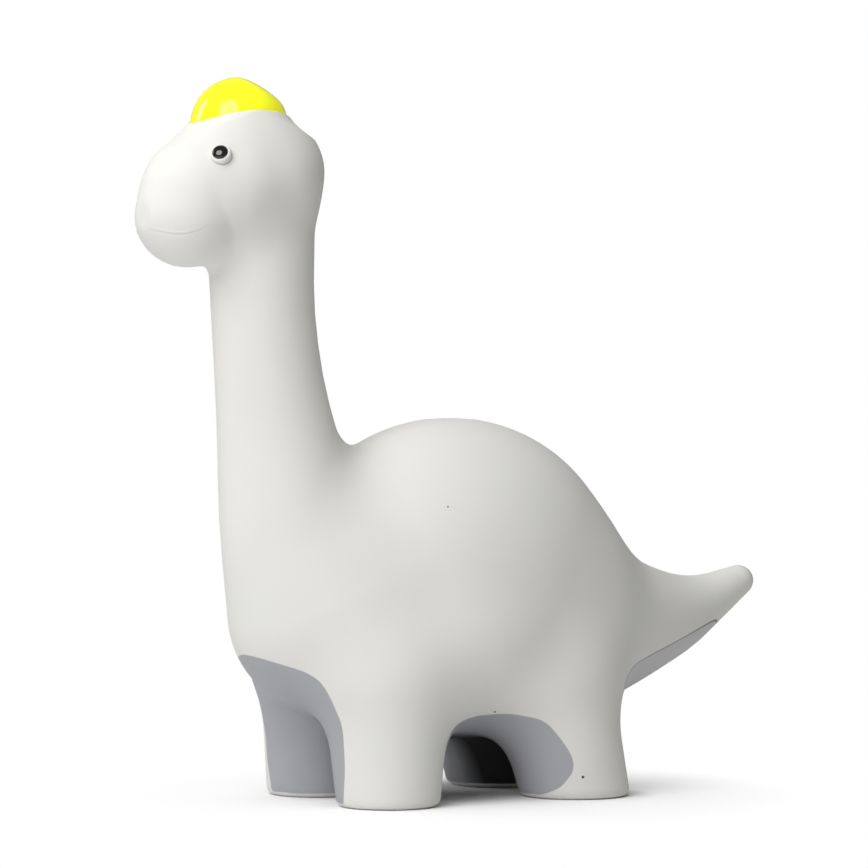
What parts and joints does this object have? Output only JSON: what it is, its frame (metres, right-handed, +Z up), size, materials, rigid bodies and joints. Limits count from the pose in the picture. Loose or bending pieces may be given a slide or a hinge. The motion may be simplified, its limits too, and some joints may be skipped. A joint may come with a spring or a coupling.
{
  "type": "toy dinosaur figure",
  "caption": "Long-necked toy dinosaur, a hollow moulded rubber skin with stubby legs and a short tail, a clear ball seated in its crown, bead eyes, a squeaker and a fibre filling.",
  "frame": {"origin": "on the floor under the middle of the figure's length and width", "axes": "+Z up, -Y forwards the way the head looks, +X to the toy's left side"},
  "size_m": [0.0768, 0.1972, 0.1977],
  "materials": {
    "skin_rubber": "matte, off-white with brushed grey paint below",
    "ball_plastic": "glossy, fluorescent yellow, slightly see-through",
    "eye_white": "matte white",
    "eye_black": "glossy black",
    "fibre": "loose white fibre",
    "squeaker_plastic": "satin white",
    "reed_brass": "rolled"
  },
  "bodies": {
    "figure": {"body_skin": "skin_rubber", "eye_bead_left": "eye_white", "eye_bead_right": "eye_white", "eye_pupil_left": "eye_black", "eye_pupil_right": "eye_black", "fibre_head": "fibre", "fibre_neck": "fibre", "fibre_trunk": "fibre", "fibre_tail": "fibre", "fibre_front_left_foot": "fibre", "fibre_front_right_foot": "fibre", "fibre_rear_left_foot": "fibre", "fibre_rear_right_foot": "fibre", "squeaker_housing": "squeaker_plastic", "squeaker_grille": "squeaker_plastic", "squeaker_reed_block": "squeaker_plastic", "squeaker_reed_clamp": "squeaker_plastic"},
    "ball": {"crown_ball": "ball_plastic"},
    "reed": {"squeaker_reed": "reed_brass"}
  },
  "joints": [
    {"name": "crown_ball_lift", "type": "slide", "parent": "figure", "child": "ball", "axis": [0, 0, 1], "range_m": [0, 0.03]},
    {"name": "squeaker_reed_flutter", "type": "hinge", "parent": "figure", "child": "reed", "pos_m": [0, -0.00779, 0.02395], "axis": [1, 0, 0], "range_deg": [-2.5, 2.5], "stiffness_Nm_per_rad": 0.0015}
  ]
}
